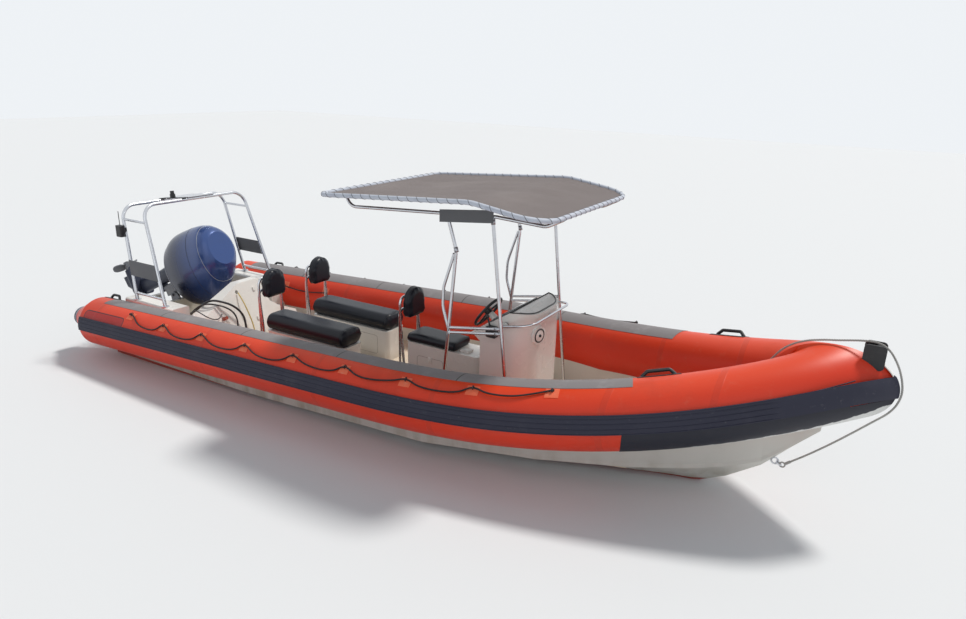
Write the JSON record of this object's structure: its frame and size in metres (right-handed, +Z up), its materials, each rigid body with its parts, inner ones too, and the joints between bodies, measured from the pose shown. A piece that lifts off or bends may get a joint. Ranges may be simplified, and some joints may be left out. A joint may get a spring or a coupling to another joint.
{
  "type": "rigid inflatable boat with outboard motor",
  "caption": "Rigid inflatable boat with orange tubes, console under a soft canopy, straddle seats, tube stern frame and a tilting outboard motor.",
  "frame": {"origin": "on the calm waterline at the centreline, under the transom's aft face", "axes": "+X towards the bow, +Y to port, +Z up"},
  "size_m": [9.001, 2.6662, 2.667],
  "materials": {
    "tube_red": "coated fabric, satin",
    "navy_rubber": "matt",
    "taupe_pad": "matt, ribbed",
    "gelcoat": "worn gloss",
    "deck_cream": "textured",
    "steel_tube": "polished tube",
    "grey_panel": "matt",
    "black_plastic": "matt",
    "black_vinyl": "satin vinyl",
    "canopy_fabric": "woven",
    "blank_panel": "matt",
    "motor_blue": "gloss metallic",
    "motor_dark": "satin",
    "cast_alloy": "painted alloy",
    "rope_black": "braided",
    "rope_grey": "braided",
    "hose_black": "satin",
    "hose_yellow": "satin",
    "fitting_brown": "gloss",
    "tab_pale": "worn"
  },
  "bodies": {
    "boat": {"hull": "gelcoat", "deck": "deck_cream", "transom": "gelcoat", "aframe_plinths": "gelcoat", "stern_locker": "gelcoat", "starboard_tube": "tube_red", "port_tube": "tube_red", "stern_cones": "tube_red", "cone_caps": "navy_rubber", "rubbing_strakes": "navy_rubber", "tube_top_pads": "taupe_pad", "bow_patches": "navy_rubber", "a_frame": "steel_tube", "aframe_panels": "grey_panel", "aframe_top_plate": "steel_tube", "stern_light": "black_plastic", "aerial_unit": "black_plastic", "rear_seat_pods": "gelcoat", "helm_seat_pod": "gelcoat", "rear_seat_cushions": "black_vinyl", "helm_seat_cushion": "black_vinyl", "backrest_hoops": "steel_tube", "backrest_pads": "black_vinyl", "console": "gelcoat", "console_port": "black_plastic", "console_rail": "steel_tube", "throttle": "black_plastic", "canopy_frame": "steel_tube", "canopy": "canopy_fabric", "blank_plate": "blank_panel", "stem_strip": "gelcoat", "bow_fairlead": "black_plastic", "bow_eye": "steel_tube", "clamp_bracket": "cast_alloy", "locker_latches": "gelcoat", "hose_gland": "black_plastic", "hose_connector": "fitting_brown", "console_fitting": "black_plastic", "line_tabs": "tab_pale", "bow_shackle": "steel_tube", "bow_post": "steel_tube", "painter": "rope_grey", "painter_splice": "rope_grey", "starboard_lifeline": "rope_black", "port_lifeline": "rope_black", "inner_grab_line": "rope_black", "main_hose": "hose_black", "second_hose": "hose_black", "thin_hose": "hose_black", "drain_hose": "hose_yellow", "stern_handles": "taupe_pad", "bow_handles": "taupe_pad"},
    "helm_wheel": {"steering_wheel": "black_plastic"},
    "motor_tilt_part": {"swivel_bracket": "cast_alloy"},
    "motor": {"outboard_midsection": "motor_dark", "outboard_cowl": "motor_blue", "outboard_gearcase": "motor_dark"},
    "motor_screw": {"propeller": "cast_alloy"}
  },
  "joints": [
    {"name": "motor_tilt", "type": "hinge", "parent": "boat", "child": "motor_tilt_part", "pos_m": [-0.07, 0, 0.47], "axis": [0, 1, 0], "range_deg": [-65, 0]},
    {"name": "motor_steer", "type": "hinge", "parent": "motor_tilt_part", "child": "motor", "pos_m": [-0.27479, 0, 0.50691], "axis": [0.9063, 0, 0.4226], "range_deg": [-30, 30]},
    {"name": "propeller_spin", "type": "hinge", "parent": "motor", "child": "motor_screw", "pos_m": [-1.09151, 0, 0.6612], "axis": [0.4226, 0, -0.9063], "continuous": true},
    {"name": "helm_turn", "type": "hinge", "parent": "boat", "child": "helm_wheel", "pos_m": [4.42, 0, 1.075], "axis": [-0.8192, 0, 0.5736], "range_deg": [-540, 540]}
  ],
  "couplings": [
    {"joint": "helm_turn", "follows": "motor_steer", "ratio": -18}
  ]
}
